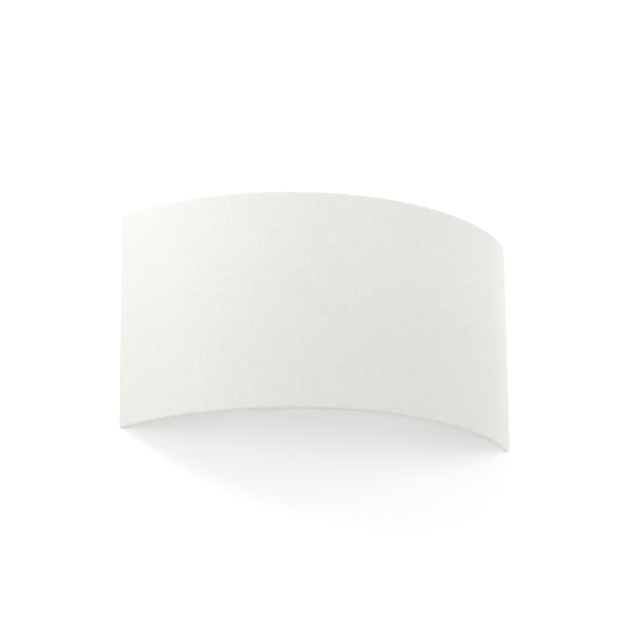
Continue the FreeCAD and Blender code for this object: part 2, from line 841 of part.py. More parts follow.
def make_wires():
    """Live and neutral cores from the block to each lamp lead, and the earth core to its lug."""
    core = value("core_diameter")
    shift = value("core_shift")
    pitch = value("pole_pitch")
    pole_y = value("pole_y")
    tube_end = value("block_level - block_height / 2")
    entry = tube_end + value("clamp_spacing") / 4
    lamp_x, lead_y, lead_start = value("lamp_x"), value("lead_y"), -value("lead_start")
    straight_end = tube_end - value("core_exit")
    live_run, neutral_run = tube_end - value("live_drop"), tube_end - value("neutral_drop")
    neutral_y = pole_y - core - value("neutral_clear")
    live, neutral = [], []
    for side in (-1, 1):
        live_x, neutral_x = side * shift - pitch, side * shift + pitch
        live_y_end, neutral_y_end = lead_y + shift, lead_y - shift
        live.append([
            (live_x, pole_y, entry),
            (live_x, pole_y, live_run),
            (side * lamp_x, live_y_end, live_run),
            (side * lamp_x, live_y_end, lead_start),
        ])
        neutral.append([
            (neutral_x, pole_y, entry),
            (neutral_x, pole_y, straight_end),
            (neutral_x, neutral_y, tube_end - value("neutral_step")),
            (neutral_x, neutral_y, neutral_run),
            (side * lamp_x, neutral_y_end, neutral_run),
            (side * lamp_x, neutral_y_end, lead_start),
        ])
    cord("live_wires", live, core)
    cord("neutral_wires", neutral, core)
    lug_y = value("tray_inside + washer_thickness + lug_thickness + core_diameter / 2")
    lug_top = value("lug_reach - earth_level")
    barrel_floor = value("lug_reach - (lug_reach - lug_diameter / 2) / 2 - earth_level")
    behind = pole_y + core + value("earth_clear")
    cord("earth_wire", [[
        (0, pole_y, entry),
        (0, pole_y, straight_end),
        (0, behind, tube_end - value("earth_step")),
        (0, behind, neutral_run - core),
        (0, lug_y, lug_top + core),
        (0, lug_y, barrel_floor),
    ]], core)


def make_lamp_leads():
    """The sheathed lead of each lamp: down out of the tray, round a half turn and up the nipple."""
    lead_y, lamp_y = value("lead_y"), value("lamp_y")
    bend = (lead_y - lamp_y) / 2
    turn_level = value("shelf_bottom") - value("arm_thickness")
    top = value("insert_bottom - strap_clearance")
    for label, side in (("left_lamp_lead", -1), ("right_lamp_lead", 1)):
        x = side * value("lamp_x")
        down_end = FreeCAD.Vector(x, lead_y, turn_level)
        up_start = FreeCAD.Vector(x, lamp_y, turn_level)
        lowest = FreeCAD.Vector(x, lead_y - bend, turn_level - bend)
        route = Part.Wire([
            Part.LineSegment(FreeCAD.Vector(x, lead_y, -value("lead_start")), down_end).toShape(),
            Part.Arc(down_end, lowest, up_start).toShape(),
            Part.LineSegment(up_start, FreeCAD.Vector(x, lamp_y, top)).toShape(),
        ])
        piece = doc.addObject("Part::Feature", label)
        piece.Label = label
        piece.Shape = tube_along(route, value("lead_diameter"))
        keep(piece)


def make_grommets():
    """Rubber rings that guard the leads where they pass the tray's lower wall."""
    half_sheet = "tray_sheet / 2"
    rim = f"{half_sheet} + grommet_flange"
    bore = "lead_diameter / 2 + slot_clearance"
    neck = "grommet_neck / 2 - thread_clearance"
    rings = []
    for number, side in enumerate(("-", ""), start=1):
        rings.append(turned(f"grommet_{number}", [
            (bore, f"-({rim})"),
            ("grommet_diameter / 2", f"-({rim})"),
            ("grommet_diameter / 2", f"-{half_sheet}"),
            (neck, f"-{half_sheet}"),
            (neck, half_sheet),
            ("grommet_diameter / 2", half_sheet),
            ("grommet_diameter / 2", rim),
            (bore, rim),
        ], side + "lamp_x", "lead_y", f"{half_sheet} - tray_height / 2"))
    group("lead_grommets", rings)


# ---- lamp arms and holders ----

def make_lamp_arm(word, side):
    """A bent strap: a leg riveted to the tray's front and a shelf that carries the lamp holder."""
    body = new_body(f"{word}_lamp_arm")
    profile = new_sketch(body, "YZ_Plane")
    outer = "(arm_bend + arm_thickness)"
    shelf_end = "lamp_y - arm_margin"
    outline(profile, [
        ("-tray_depth", "-arm_top"),
        ("arm_front", "-arm_top"),
        ("arm_front", "shelf_top + arm_bend", "arm_front - arm_bend", "shelf_top + arm_bend", -1),
        ("arm_front - arm_bend", "shelf_top"),
        (shelf_end, "shelf_top"),
        (shelf_end, "shelf_bottom"),
        (f"-tray_depth - {outer}", "shelf_bottom",
         f"-tray_depth - {outer}", f"shelf_bottom + {outer}", 1),
        ("-tray_depth", f"shelf_bottom + {outer}"),
    ])
    pad(body, profile, "arm_width", both_ways=True)
    ends = [(step * value("arm_width / 2"), value(shelf_end), None) for step in (-1, 1)]
    fillet(body, ends, "arm_corner")
    rivet_holes = new_sketch(body, "XZ_Plane")
    for step in ("-", ""):
        circle(rivet_holes, step + "rivet_spacing / 2", "-rivet_level",
               "rivet_diameter / 2 + thread_clearance")
    pocket(body, rivet_holes, both_ways=True)
    nipple_hole = new_sketch(body, "XY_Plane")
    circle(nipple_hole, 0, "lamp_y", "nipple_diameter / 2 + hole_clearance")
    pocket(body, nipple_hole, both_ways=True)
    place(body, side + "lamp_x")
    keep(body)


def make_rivets():
    grip = "arm_thickness + tray_sheet"
    rivets = []
    for _, side in SIDES:
        for step in ("-", "+"):
            rivets.append(turned(f"arm_rivet_{len(rivets) + 1}", [
                (0, "-rivet_height"),
                ("rivet_head / 4", "-rivet_height"),
                ("rivet_head / 2", 0),
                ("rivet_diameter / 2", 0),
                ("rivet_diameter / 2", grip),
                ("rivet_tail / 2", grip),
                ("rivet_tail / 2", f"{grip} + rivet_height / 2"),
                (0, f"{grip} + rivet_height / 2"),
            ], f"{side}lamp_x {step} rivet_spacing / 2", "arm_front", "-rivet_level",
                plane="XY_Plane"))
    group("arm_rivets", rivets)


def make_nipples():
    """A hollow threaded nipple through each shelf, drawn tight by a washer and a nut below."""
    nipples, washers, nuts = [], [], []
    for number, (_, side) in enumerate(SIDES, start=1):
        lamp_x = side + "lamp_x"
        nipples.append(ring(f"nipple_{number}", "nipple_diameter / 2", "nipple_bore / 2",
                            "shelf_top + cap_floor - nipple_bottom", "XY_Plane",
                            lamp_x, "lamp_y", "nipple_bottom"))
        washers.append(ring(f"nipple_washer_{number}", "nipple_washer / 2",
                            "nipple_diameter / 2 + hole_clearance", "washer_thickness",
                            "XY_Plane", lamp_x, "lamp_y", "nipple_washer_bottom"))
        nuts.append(hex_nut(f"nipple_nut_{number}", "nipple_nut_flats", "nipple_nut_thickness",
                            "nipple_diameter / 2 + thread_clearance", "XY_Plane",
                            lamp_x, "lamp_y", "nipple_nut_bottom"))
    group("threaded_nipples", nipples)
    group("nipple_washers", washers)
    group("nipple_nuts", nuts)


def make_holder(word, side):
    """Cap, insert, skirt and screw sleeve of one lamp holder; heights are above the shelf."""
    spot = (side + "lamp_x", "lamp_y")
    outside = "holder_diameter / 2"
    inside = "holder_diameter / 2 - holder_wall"
    thread = "nipple_diameter / 2 + thread_clearance"
    keep(turned(f"{word}_holder_cap", [
        (thread, 0),
        (f"{outside} - holder_wall", 0),
        (outside, "holder_wall"),
        (outside, "cap_height"),
        (inside, "cap_height"),
        (inside, "cap_step"),
        (f"{inside} - holder_wall", "cap_step"),
        (f"{inside} - holder_wall", "cap_floor"),
        (thread, "cap_floor"),
    ], *spot, "shelf_top"))
    keep(turned(f"{word}_holder_insert", [
        (0, 0),
        ("insert_radius", 0),
        ("insert_radius", "insert_height"),
        (0, "insert_height"),
    ], *spot, "insert_bottom"))
    web = "cap_step + insert_height + skirt_web"
    bore = "sleeve_diameter / 2 + thread_clearance"
    keep(turned(f"{word}_holder_skirt", [
        (inside, "cap_height"),
        (outside, "cap_height"),
        ("skirt_top / 2", "holder_height"),
        (bore, "holder_height"),
        (bore, web),
        (inside, web),
    ], *spot, "shelf_top"))
    keep(ring(f"{word}_screw_sleeve", "sleeve_diameter / 2", "sleeve_diameter / 2 - sleeve_wall",
              "sleeve_height", "XY_Plane", *spot, "insert_top"))


def make_centre_contacts():
    """Sprung brass tongues that press on the bulbs' contact buttons."""
    springs = []
    for number, (_, side) in enumerate(SIDES, start=1):
        body = new_body(f"centre_contact_{number}")
        profile = new_sketch(body, "XZ_Plane")
        heel, toe = "-spring_width / 2", "-spring_width / 4"
        outline(profile, [
            ("-spring_foot", 0),
            (heel, 0),
            (toe, "spring_rise"),
            ("spring_reach", "spring_rise"),
            ("spring_reach", "spring_rise + spring_sheet"),
            (f"{toe} - spring_sheet", "spring_rise + spring_sheet"),
            (f"{heel} - spring_sheet", "spring_sheet"),
            ("-spring_foot", "spring_sheet"),
        ])
        pad(body, profile, "spring_width", both_ways=True)
        place(body, side + "lamp_x", "lamp_y", "insert_top")
        springs.append(body)
    group("centre_contacts", springs)


# ---- bulbs ----

def make_bulb(word, side):
    """A round opal bulb with a small screw cap; heights are above the tip of its contact."""
    spot = (side + "lamp_x", "lamp_y", "bulb_tip")
    button = "button_diameter / 2"
    root = "shell_root / 2"
    crest = "shell_crest / 2"
    keep(turned(f"{word}_bulb_contact", [
        (0, 0),
        (f"{button} / 2", 0),
        (button, "button_height / 2"),
        (button, "button_height"),
        (0, "button_height"),
    ], *spot))
    keep(turned(f"{word}_bulb_insulator", [
        (0, "button_height"),
        (f"{button} + spring_sheet", "button_height"),
        (f"{root} - shell_wall", "shell_bottom"),
        (0, "shell_bottom"),
    ], *spot))

    # each thread ridge is an arc from root to root that bulges to the crest
    bulge = f"({crest} - {root})"
    ridge_radius = f"((thread_pitch / 2) ^ 2 + {bulge} ^ 2) / (2 * {bulge})"
    ridges = [(root, f"shell_bottom + {turn} * thread_pitch",
               f"{crest} - {ridge_radius}", f"shell_bottom + ({turn} + 0.5) * thread_pitch", 1)
              for turn in range(int(value("thread_turns")))]
    keep(turned(f"{word}_bulb_screw_shell", ridges + [
        (root, "shell_top"),
        (f"{root} - shell_wall", "shell_top"),
        (f"{root} - shell_wall", "shell_bottom"),
    ], *spot))

    # the collar flares along an arc that leaves its straight neck without a kink
    neck, rim = "collar_neck / 2", "collar_rim / 2"
    flare = f"({rim} - {neck})"
    flare_radius = f"({flare} ^ 2 + collar_flare ^ 2) / (2 * {flare})"
    flare_centre = f"{neck} + {flare_radius}"
    ledge = f"{flare_centre} - sqrt(({flare_radius} + collar_wall) ^ 2 - collar_flare ^ 2)"
    keep(turned(f"{word}_bulb_collar", [
        (f"{neck} - collar_wall", "shell_top"),
        (neck, "shell_top"),
        (neck, "flare_bottom", flare_centre, "flare_bottom", -1),
        (rim, "collar_top - collar_band"),
        (rim, "collar_top"),
        (f"{rim} - collar_wall", "collar_top"),
        (f"{rim} - collar_wall", "collar_top - board_thickness"),
        (ledge, "collar_top - board_thickness"),
        (ledge, "collar_top - collar_band", flare_centre, "flare_bottom", 1),
        (f"{neck} - collar_wall", "flare_bottom"),
    ], *spot))
    keep(turned(f"{word}_bulb_light_board", [
        (0, "collar_top - board_thickness"),
        (f"{rim} - collar_wall - board_clearance", "collar_top - board_thickness"),
        (f"{rim} - collar_wall - board_clearance", "collar_top"),
        (0, "collar_top"),
    ], *spot))
    outer, inner = "(bulb_diameter / 2)", "(bulb_diameter / 2 - dome_wall)"
    inner_foot = f"sqrt({inner} ^ 2 - (dome_centre - collar_top) ^ 2)"
    keep(turned(f"{word}_bulb_dome", [
        (rim, "collar_top", 0, "dome_centre", 1),
        (0, f"dome_centre + {outer}"),
        (0, f"dome_centre + {inner}", 0, "dome_centre", -1),
        (inner_foot, "collar_top"),
    ], *spot))


# ---- the whole light ----

make_shade_fabric()
make_shade_liner()
make_frame_wires()
make_carrier_strap()
make_mounting_bracket()
make_wall_tray()
make_studs_and_nuts()
make_thumb_nuts()
make_terminal_block()
make_earth_connection()
make_wires()
make_lamp_leads()
make_grommets()
make_rivets()
make_nipples()
for side_word, side_sign in SIDES:
    make_lamp_arm(side_word, side_sign)
    make_holder(side_word, side_sign)
    make_bulb(side_word, side_sign)
make_centre_contacts()

doc.recompute()
for item in doc.Objects:
    if "Invalid" in item.State or "Error" in item.State:
        raise ValueError(f"{item.Label} failed: {item.State}")
for node in nodes:
    if node.Shape.isNull() or not node.Shape.isValid() or not node.Shape.Solids:
        raise ValueError(f"{node.Label} has no valid solid")

os.makedirs("parts", exist_ok=True)
for node in nodes:
    node.Shape.exportStep(f"parts/{node.Label}.step")
print(len(nodes), "nodes written")
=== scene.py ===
import math

import bmesh
import bpy
from mathutils import Matrix, Vector, noise


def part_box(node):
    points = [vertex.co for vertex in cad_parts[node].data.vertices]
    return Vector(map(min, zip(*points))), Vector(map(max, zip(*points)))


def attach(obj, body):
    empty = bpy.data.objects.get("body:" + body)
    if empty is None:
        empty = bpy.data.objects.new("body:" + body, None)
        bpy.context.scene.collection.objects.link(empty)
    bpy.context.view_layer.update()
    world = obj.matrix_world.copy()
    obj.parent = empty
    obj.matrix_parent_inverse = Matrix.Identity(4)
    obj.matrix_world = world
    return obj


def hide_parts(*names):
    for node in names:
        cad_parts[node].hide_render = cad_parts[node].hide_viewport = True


# Fabric shade wall light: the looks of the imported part, in metres and in its frame.
# +X runs along the wall to the viewer's right, +Y points into the wall and +Z up. The wall is y = 0.

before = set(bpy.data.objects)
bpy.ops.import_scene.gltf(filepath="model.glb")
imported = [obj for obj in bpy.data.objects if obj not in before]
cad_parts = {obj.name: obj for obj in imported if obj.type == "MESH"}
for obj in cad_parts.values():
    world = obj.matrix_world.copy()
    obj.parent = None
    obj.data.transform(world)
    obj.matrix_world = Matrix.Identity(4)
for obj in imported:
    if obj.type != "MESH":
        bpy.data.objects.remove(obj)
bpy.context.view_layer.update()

MM = 0.001
CLOTH_THICKNESS = 0.6 * MM
HEM_LIP = 8 * MM
THREAD = 0.45 * MM


# ---- shader sums ----

class Socket:
    """A shader socket that can stand in a sum. Each operator adds the Math node that works it out."""

    def __init__(self, finish, socket):
        self.finish = finish
        self.socket = socket

    def math(self, operation, *others):
        return self.finish.node("Math", dict(enumerate((self, *others))), operation=operation)

    def __add__(self, other):
        return self.math("ADD", other)

    __radd__ = __add__

    def __sub__(self, other):
        return self.math("SUBTRACT", other)

    def __rsub__(self, other):
        return self.finish.node("Math", {0: other, 1: self}, operation="SUBTRACT")

    def __mul__(self, other):
        return self.math("MULTIPLY", other)

    __rmul__ = __mul__

    def __truediv__(self, other):
        return self.math("DIVIDE", other)

    def floor(self):
        return self.math("FLOOR")

    def fraction(self):
        return self.math("FRACT")

    def cosine(self):
        return self.math("COSINE")

    def size(self):
        return self.math("ABSOLUTE")

    def root(self):
        return self.math("SQRT")

    def sign(self):
        return self.math("SIGN")

    def angle_from(self, other):
        return self.math("ARCTAN2", other)

    def highest(self, other):
        return self.math("MAXIMUM", other)


class Finish:
    """A material in the making: its node tree, and the shader that the tree feeds."""

    def __init__(self, name, **sockets):
        self.material = bpy.data.materials.new(name)
        self.material.use_nodes = True
        self.tree = self.material.node_tree
        self.shader = self.tree.nodes["Principled BSDF"]
        self.put(**sockets)

    def join(self, socket, value):
        """Link a socket, or set it; a colour is given by its three parts."""
        if isinstance(value, Socket):
            self.tree.links.new(value.socket, socket)
        elif isinstance(value, tuple) and socket.type == "RGBA":
            socket.default_value = (*value, 1)
        else:
            socket.default_value = value

    def node(self, kind, sockets, output=0, **settings):
        """Add a node: first its settings, then its sockets' values or links. Returns an output."""
        made = self.tree.nodes.new("ShaderNode" + kind)
        for name, setting in settings.items():
            setattr(made, name, setting)
        for name, value in sockets.items():
            self.join(made.inputs[name], value)
        return Socket(self, made.outputs[output])

    def put(self, **sockets):
        """Feed the shader's own sockets, with _ for each space in their names."""
        for name, value in sockets.items():
            self.join(self.shader.inputs[name.replace("_", " ")], value)

    def place(self):
        """The spot on the piece, in metres, in the frame of the whole light."""
        return self.node("TexCoord", {}, "Object")

    def cloth_place(self):
        """The spot on the flat cloth, in metres."""
        return self.node("TexCoord", {}, "UV")

    def parts(self, vector):
        made = self.node("SeparateXYZ", {0: vector})
        return [Socket(self, output) for output in made.socket.node.outputs]

    def vector(self, x, y, z):
        return self.node("CombineXYZ", {0: x, 1: y, 2: z})

    def stretch(self, vector, *sizes):
        """Divide a vector by sizes, so that a texture of size 1 on it has those sizes."""
        return self.node("VectorMath", {0: vector, 1: sizes}, operation="DIVIDE")

    def grain(self, vector, size, detail=2, roughness=0.5):
        """Soft random patches of about that size, from 0 to 1."""
        sockets = {"Vector": vector, "Scale": 1 / size, "Detail": detail, "Roughness": roughness}
        return self.node("TexNoise", sockets)

    def specks(self, vector, size):
        """Distance to the nearest of many scattered points, in their own size."""
        return self.node("TexVoronoi", {"Vector": vector, "Scale": 1 / size})

    def rise(self, value, low, high, start=0, end=1):
        """A smooth step from start to end as the value goes from low to high."""
        sockets = {0: value, 1: low, 2: high, 3: start, 4: end}
        return self.node("MapRange", sockets, interpolation_type="SMOOTHSTEP")

    def blend(self, share, first, second):
        """The first colour, or the second where the share is 1."""
        return self.node("Mix", {0: share, 6: first, 7: second}, 2, data_type="RGBA")

    def tinted(self, colour, amount):
        """A colour made lighter or darker by a factor."""
        grey = self.vector(amount, amount, amount)
        return self.node("Mix", {0: 1.0, 6: colour, 7: grey}, 2, data_type="RGBA",
                         blend_type="MULTIPLY")

    def relief(self, height, depth):
        """Raise the surface by up to the depth where the height goes from 0 to 1."""
        bump = self.node("Bump", {"Height": height, "Distance": depth, "Strength": 1.0})
        self.put(Normal=bump)


# ---- finishes ----

def shade_cloth():
    """Off-white cotton and linen in a fine plain weave, its threads a little uneven. Painted light:
    the colour is lighter towards the top and the right-hand end and a little darker towards the
    bottom, to match the tones of the photograph."""
    finish = Finish("shade_cloth", Roughness=0.95, Sheen_Weight=0.6, Sheen_Roughness=0.3,
                    Specular_IOR_Level=0.2)
    across, down, _ = finish.parts(finish.cloth_place())
    warp, weft = across / THREAD, down / THREAD
    warp_thread, weft_thread = warp.floor(), weft.floor()

    def hump(count):
        middle = count.fraction() * 2 - 1
        return 1 - middle * middle

    def wave(count, thread):
        return ((count - 0.5 + thread) * math.pi).cosine()

    dip = 0.4
    warp_height = hump(warp) * (wave(weft, warp_thread) * dip + (1 - dip))
    weft_height = hump(weft) * (wave(warp, weft_thread) * -dip + (1 - dip))
    weave = warp_height.highest(weft_height)

    # The last part of each vector below gives each pattern a slice of the noise of its own.
    slub, next_thread = 14 * MM, 0.73
    warp_slub = finish.grain(finish.vector(warp_thread * next_thread, down / slub, 3.0), 1)
    weft_slub = finish.grain(finish.vector(across / slub, weft_thread * next_thread, 8.0), 1)
    streak_width, streak_length = 2.6 * MM, 24 * MM
    warp_streak = finish.grain(finish.vector(across / streak_width, down / streak_length, 5.0), 1)
    weft_streak = finish.grain(finish.vector(across / streak_length, down / streak_width, 9.0), 1)
    cloud = finish.grain(finish.place(), 70 * MM)
    shade = ((warp_slub - 0.5) * 0.10 + (weft_slub - 0.5) * 0.12 + (warp_streak - 0.5) * 0.06
             + (weft_streak - 0.5) * 0.06 + (cloud - 0.5) * 0.03)
    rim, painted_light_from, painted_light_to = 105 * MM, 172 * MM, 218 * MM
    # Painted light: the cloth is lighter towards the top, a little darker towards the bottom, and
    # lighter towards the right-hand end.
    painted_light = (finish.rise(down, -rim, rim, 0.045, -0.02)
             + finish.rise(across, painted_light_from, painted_light_to, 0, 0.09))
    # The weave's height also tints the colour: painted shade darkens the dips between the threads.
    lightness = shade + painted_light + weave * 0.06 + 0.955
    finish.put(Base_Color=finish.tinted((0.72, 0.7095, 0.678), lightness))
    finish.relief(weave + warp_slub * 0.35 + weft_slub * 0.35, 0.07 * MM)
    return finish.material


def shade_lining():
    """The stiff white laminate inside the shade: smooth, with a faint ripple and dust."""
    finish = Finish("shade_lining")
    place = finish.place()
    ripple = finish.grain(place, 9 * MM, 3)
    dust = finish.specks(place, 5 * MM)
    finish.put(Base_Color=finish.tinted((0.72, 0.715, 0.70), ripple * 0.05 + 0.965),
               Roughness=finish.rise(dust, 0.02, 0.16, 0.62, 0.44))
    finish.relief(ripple, 0.12 * MM)
    return finish.material


def white_coat(name, grain, colour=(0.83, 0.83, 0.815)):
    """White powder coat: a fine orange peel, a little rubbed and greyed in places."""
    finish = Finish(name, Specular_IOR_Level=0.45)
    place = finish.place()
    peel = finish.grain(place, grain, 3, 0.6)
    rubbed = finish.grain(place, 18 * MM, 4, 0.65)
    finish.put(Base_Color=finish.tinted(colour, finish.rise(rubbed, 0.35, 0.7, 0.95, 1.01)),
               Roughness=finish.rise(rubbed, 0.3, 0.7, 0.34, 0.5))
    finish.relief(peel, 0.05 * MM)
    return finish.material


def plated(name, colour, dull, roughness=0.3):
    """Plated or plain metal: fine scratches, and duller, darker clouds."""
    finish = Finish(name, Metallic=1.0)
    place = finish.place()
    scratches = finish.grain(finish.stretch(place, 4 * MM, 0.15 * MM, 0.3 * MM), 1, 3, 0.7)
    cloud = finish.grain(place, 2.4 * MM, 3, 0.55)
    finish.put(Base_Color=finish.blend(finish.rise(cloud, 0.25, 0.8), colour, dull),
               Roughness=scratches * 0.16 + cloud * 0.14 + (roughness - 0.12))
    finish.relief(scratches, 0.01 * MM)
    return finish.material


def threaded(name, colour, dull, pitch, bolt_x, bolt_y=None):
    """A metal with a rolled thread: bolts at plus and minus bolt_x, upright where bolt_y is given
    and square to the wall where it isn't."""
    finish = Finish(name, Metallic=1.0)
    place = finish.place()
    x, y, z = finish.parts(place)
    sideways = x - x.sign() * bolt_x
    if bolt_y is None:
        along, turn = y, z.angle_from(sideways)
    else:
        along, turn = z, (y - bolt_y).angle_from(sideways)
    groove = ((along / pitch + turn / math.tau).fraction() * 2 - 1).size()
    cloud = finish.grain(place, 3 * MM, 3)
    # Painted shade: the thread's grooves take the duller, darker colour, as well as the random
    # clouds.
    share = finish.rise(groove, 0.1, 0.7, 1, 0) * 0.6 + cloud * 0.4
    finish.put(Base_Color=finish.blend(share, colour, dull), Roughness=cloud * 0.15 + 0.24)
    finish.relief(groove, 0.5 * pitch)
    return finish.material


def moulded(name, colour, grain=0.4 * MM, roughness=0.42, depth=0.015 * MM):
    """Moulded plastic: a fine spark-eroded grain and slight flow clouds."""
    finish = Finish(name, Specular_IOR_Level=0.5)
    place = finish.place()
    skin = finish.grain(place, grain, 2, 0.6)
    cloud = finish.grain(place, 12 * MM, 3)
    finish.put(Base_Color=finish.tinted(colour, cloud * 0.06 + 0.97),
               Roughness=skin * 0.12 + cloud * 0.08 + (roughness - 0.1))
    finish.relief(skin, depth)
    return finish.material


def earth_sheath():
    """Green insulation with a yellow stripe along each side of the core."""
    finish = Finish("earth_sheath", Roughness=0.4)
    place = finish.place()
    x, _, _ = finish.parts(place)
    half_green, soft_edge = 0.34 * MM, 0.06 * MM
    stripe = finish.rise(x.size(), half_green, half_green + soft_edge)
    colour = finish.blend(stripe, (0.05, 0.22, 0.03), (0.72, 0.56, 0.03))
    cloud = finish.grain(place, 3 * MM, 3)
    finish.put(Base_Color=finish.tinted(colour, cloud * 0.1 + 0.95))
    finish.relief(finish.grain(place, 0.5 * MM), 0.02 * MM)
    return finish.material


def holder_ceramic():
    """Unglazed steatite: matt, off-white, with small darker specks."""
    finish = Finish("holder_ceramic")
    place = finish.place()
    specks = finish.specks(place, 0.9 * MM)
    grain = finish.grain(place, 0.5 * MM, 3)
    finish.put(Base_Color=finish.blend(finish.rise(specks, 0.05, 0.14, 0.35, 0),
                                       (0.80, 0.78, 0.73), (0.45, 0.40, 0.33)),
               Roughness=grain * 0.15 + 0.6)
    finish.relief(grain, 0.03 * MM)
    return finish.material


def light_board(lamp_x, lamp_y):
    """The white board inside a bulb, with a ring of small yellow light chips."""
    finish = Finish("light_board", Roughness=0.45)
    place = finish.place()
    x, y, _ = finish.parts(place)
    sideways, onward = x.size() - lamp_x, y - lamp_y
    radius = (sideways * sideways + onward * onward).root()
    chips_in_ring, ring_radius, half_chip, soft_edge = 8, 9 * MM, 1.3 * MM, 0.15 * MM
    turn = (onward.angle_from(sideways) * (chips_in_ring / math.tau)).fraction()
    beside = 1 - finish.rise((turn - 0.5).size(), 0.16, 0.18)
    outward = 1 - finish.rise((radius - ring_radius).size(), half_chip, half_chip + soft_edge)
    chip = beside * outward
    finish.put(Base_Color=finish.blend(chip, (0.80, 0.80, 0.78), (0.80, 0.62, 0.12)))
    finish.relief(chip + finish.grain(place, 0.3 * MM) * 0.05, 0.4 * MM)
    return finish.material


def opal_dome():
    """The bulb's opal diffuser: satin outside, milky, with the least haze."""
    finish = Finish("opal_dome", Coat_Weight=0.25, Coat_Roughness=0.2, Subsurface_Weight=0.35,
                    Subsurface_Radius=(0.004, 0.004, 0.004), Subsurface_Scale=1.0)
    place = finish.place()
    haze = finish.grain(place, 14 * MM, 3)
    finish.put(Base_Color=finish.tinted((0.87, 0.865, 0.845), haze * 0.04 + 0.975),
               Roughness=haze * 0.1 + 0.28)
    finish.relief(finish.grain(place, 1.2 * MM), 0.01 * MM)
    return finish.material


ZINC, ZINC_DULL = (0.66, 0.67, 0.69), (0.52, 0.53, 0.56)
BRASS, BRASS_DULL = (0.76, 0.55, 0.25), (0.52, 0.36, 0.15)


def make_finishes(lamp_x, lamp_y, stud_x):
    """One finish for each material slot, and for the nodes that have a thread of their own."""
    return {
        "shade_textile": shade_cloth(),
        "shade_liner": shade_lining(),
        "white_wire": white_coat("wire_coat", 0.35 * MM, (0.85, 0.85, 0.835)),
        "white_steel": white_coat("steel_coat", 0.6 * MM),
        "zinc_steel": plated("zinc_plate", ZINC, ZINC_DULL, 0.3),
        "aluminium": plated("bare_aluminium", (0.74, 0.74, 0.75), (0.58, 0.58, 0.6), 0.34),
        "brass": plated("turned_brass", BRASS, BRASS_DULL, 0.27),
        "shell_metal": plated("nickel_plate", (0.70, 0.67, 0.62), (0.52, 0.50, 0.47), 0.22),
        "tinned_contact": plated("tinned_contact", (0.68, 0.68, 0.66), (0.5, 0.5, 0.48), 0.38),
        "block_plastic": moulded("block_plastic", (0.76, 0.75, 0.70)),
        "live_insulation": moulded("brown_insulation", (0.115, 0.045, 0.02)),
        "neutral_insulation": moulded("blue_insulation", (0.02, 0.10, 0.42)),
        "earth_insulation": earth_sheath(),
        "lead_sheath": moulded("lead_sheath", (0.78, 0.775, 0.75), 0.7 * MM, 0.5, 0.04 * MM),
        "grommet_rubber": moulded("grommet_rubber", (0.022, 0.022, 0.024), 0.3 * MM, 0.65),
        "holder_plastic": moulded("holder_plastic", (0.80, 0.79, 0.765), 0.5 * MM, 0.36),
        "holder_ceramic": holder_ceramic(),
        "black_glass": moulded("black_glass", (0.008, 0.008, 0.01), 1 * MM, 0.16, 0.01 * MM),
        "collar_plastic": moulded("collar_plastic", (0.84, 0.84, 0.83), 0.5 * MM, 0.3),
        "light_board": light_board(lamp_x, lamp_y),
        "opal_dome": opal_dome(),
        "support_studs": threaded("zinc_thread", ZINC, ZINC_DULL, 0.7 * MM, stud_x),
        "threaded_nipples": threaded("brass_thread", BRASS, BRASS_DULL, 1 * MM, lamp_x, lamp_y),
    }


def dress_nodes(finishes):
    """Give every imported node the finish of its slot, or the one made for it alone."""
    for name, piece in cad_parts.items():
        for slot in piece.material_slots:
            slot.material = finishes.get(name, finishes[slot.material.name])


# ---- the cloth of the shade ----

def shade_arc():
    """Radius of the shade's outer face, and how far into the wall its axis lies."""
    low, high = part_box("shade_fabric")
    half_width, depth = high.x, -low.y
    radius = (half_width ** 2 + depth ** 2) / (2 * depth)
    return radius, radius - depth


def draw_section(cloth, radius, axis_y):
    """The cloth's outer line in the plane x = 0: a lip, a roll over the wire, the skin between
    the two rims, a roll and a lip. Returns its points from the upper end to the lower one."""
    _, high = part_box("shade_fabric")
    wire_low, wire_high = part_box("upper_frame_wire")
    wire_level = (wire_low.z + wire_high.z) / 2
    roll = high.z - wire_level
    lip_end = high.z - HEM_LIP
    roll_steps, skin_cuts = 10, 23

    def spot(inward, level):
        return Vector((0, axis_y - radius + inward, level))

    def run_to(point, end):
        made = bmesh.ops.extrude_vert_indiv(cloth, verts=[point])["verts"][0]
        made.co = end
        return made

    def roll_over(point, level):
        made = bmesh.ops.spin(cloth, geom=[point], cent=spot(roll, level), axis=(1, 0, 0),
                              angle=math.pi, steps=roll_steps)
        return next(item for item in made["geom_last"] if isinstance(item, bmesh.types.BMVert))

    point = run_to(cloth.verts.new(spot(2 * roll, lip_end)), spot(2 * roll, wire_level))
    point = roll_over(point, wire_level)
    point = run_to(point, spot(0, -wire_level))
    point = roll_over(point, -wire_level)
    run_to(point, spot(2 * roll, -lip_end))
    long_edges = [edge for edge in cloth.edges if edge.calc_length() > 2 * HEM_LIP]
    bmesh.ops.subdivide_edges(cloth, edges=long_edges, cuts=skin_cuts)
    return walk(cloth)


def walk(cloth):
    """The points of an open line, from its higher end to its lower one."""
    ends = [point for point in cloth.verts if len(point.link_edges) == 1]
    line = [max(ends, key=lambda point: point.co.z)]
    edge = None
    while True:
        onward = [other for other in line[-1].link_edges if other is not edge]
        if not onward:
            return line
        edge = onward[0]
        line.append(edge.other_vert(line[-1]))


def mark_length(cloth, line):
    """Note on each point of the line how far below the flat cloth's middle it lies. Returns the
    cloth's whole length."""
    along = cloth.verts.layers.float["along"]
    for before, point in zip(line, line[1:]):
        point[along] = before[along] + (point.co - before.co).length
    middle = line[-1][along] / 2
    for point in line:
        point[along] -= middle
    return 2 * middle


def lay_threads(cloth, radius, axis_y):
    """The cloth's own map: metres to the right round the arc, and metres down the flat cloth, both
    from its middle."""
    along = cloth.verts.layers.float["along"]
    threads = cloth.loops.layers.uv.new("threads")
    for face in cloth.faces:
        for corner in face.loops:
            point = corner.vert
            turn = math.atan2(point.co.x, axis_y - point.co.y)
            corner[threads].uv = (radius * turn, point[along])


